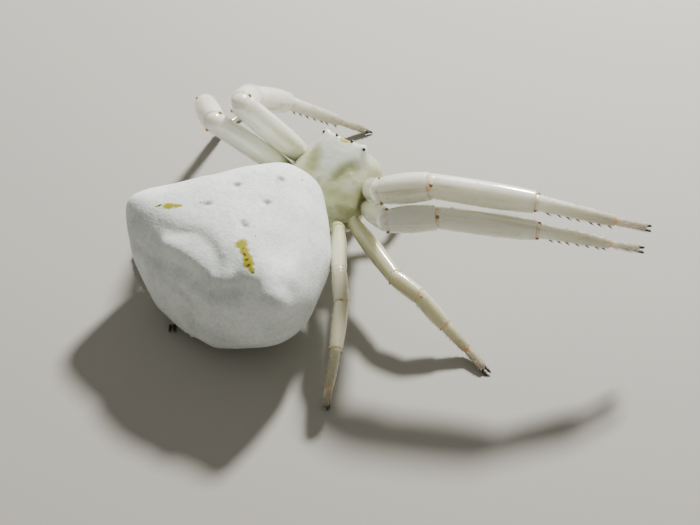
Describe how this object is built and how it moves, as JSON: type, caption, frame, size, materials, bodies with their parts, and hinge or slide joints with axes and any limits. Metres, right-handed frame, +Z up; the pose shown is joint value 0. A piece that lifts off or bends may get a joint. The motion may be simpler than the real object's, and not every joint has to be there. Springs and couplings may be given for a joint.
{
  "type": "crab spider",
  "caption": "White female crab spider at rest, broad two-horned abdomen, the right front legs held out and up.",
  "frame": {"origin": "middle of the whole animal's bounding box, on the surface that it stands on", "axes": "+X the spider's right, +Y the way it faces, +Z up"},
  "size_m": [0.016, 0.0118, 0.0054],
  "materials": {
    "abdomen_cuticle": "chalk white, finely pitted and striated, matt",
    "carapace_cuticle": "pale yellowish green, slightly translucent, satin",
    "leg_cuticle": "milky translucent beige white, glossy along the upper edge",
    "eye_lens": "glossy black"
  },
  "bodies": {
    "root": {"abdomen": "abdomen_cuticle", "spinnerets": "abdomen_cuticle", "prosoma": "carapace_cuticle", "waist": "carapace_cuticle", "chelicera_left": "carapace_cuticle", "palp_left": "leg_cuticle", "eye_front_middle_left": "eye_lens", "eye_front_side_left": "eye_lens", "eye_rear_middle_left": "eye_lens", "eye_rear_side_left": "eye_lens", "leg_left_1_femur": "leg_cuticle", "leg_left_1_patella": "leg_cuticle", "leg_left_1_tibia": "leg_cuticle", "leg_left_1_metatarsus": "leg_cuticle", "leg_left_1_tarsus": "leg_cuticle", "leg_left_2_femur": "leg_cuticle", "leg_left_2_patella": "leg_cuticle", "leg_left_2_tibia": "leg_cuticle", "leg_left_2_metatarsus": "leg_cuticle", "leg_left_2_tarsus": "leg_cuticle", "leg_left_3_femur": "leg_cuticle", "leg_left_3_patella": "leg_cuticle", "leg_left_3_tibia": "leg_cuticle", "leg_left_3_metatarsus": "leg_cuticle", "leg_left_3_tarsus": "leg_cuticle", "leg_left_4_femur": "leg_cuticle", "leg_left_4_patella": "leg_cuticle", "leg_left_4_tibia": "leg_cuticle", "leg_left_4_metatarsus": "leg_cuticle", "leg_left_4_tarsus": "leg_cuticle", "chelicera_right": "carapace_cuticle", "palp_right": "leg_cuticle", "eye_front_middle_right": "eye_lens", "eye_front_side_right": "eye_lens", "eye_rear_middle_right": "eye_lens", "eye_rear_side_right": "eye_lens", "leg_right_1_femur": "leg_cuticle", "leg_right_1_patella": "leg_cuticle", "leg_right_1_tibia": "leg_cuticle", "leg_right_1_metatarsus": "leg_cuticle", "leg_right_1_tarsus": "leg_cuticle", "leg_right_2_femur": "leg_cuticle", "leg_right_2_patella": "leg_cuticle", "leg_right_2_tibia": "leg_cuticle", "leg_right_2_metatarsus": "leg_cuticle", "leg_right_2_tarsus": "leg_cuticle", "leg_right_3_femur": "leg_cuticle", "leg_right_3_patella": "leg_cuticle", "leg_right_3_tibia": "leg_cuticle", "leg_right_3_metatarsus": "leg_cuticle", "leg_right_3_tarsus": "leg_cuticle", "leg_right_4_femur": "leg_cuticle", "leg_right_4_patella": "leg_cuticle", "leg_right_4_tibia": "leg_cuticle", "leg_right_4_metatarsus": "leg_cuticle", "leg_right_4_tarsus": "leg_cuticle"}
  },
  "joints": []
}
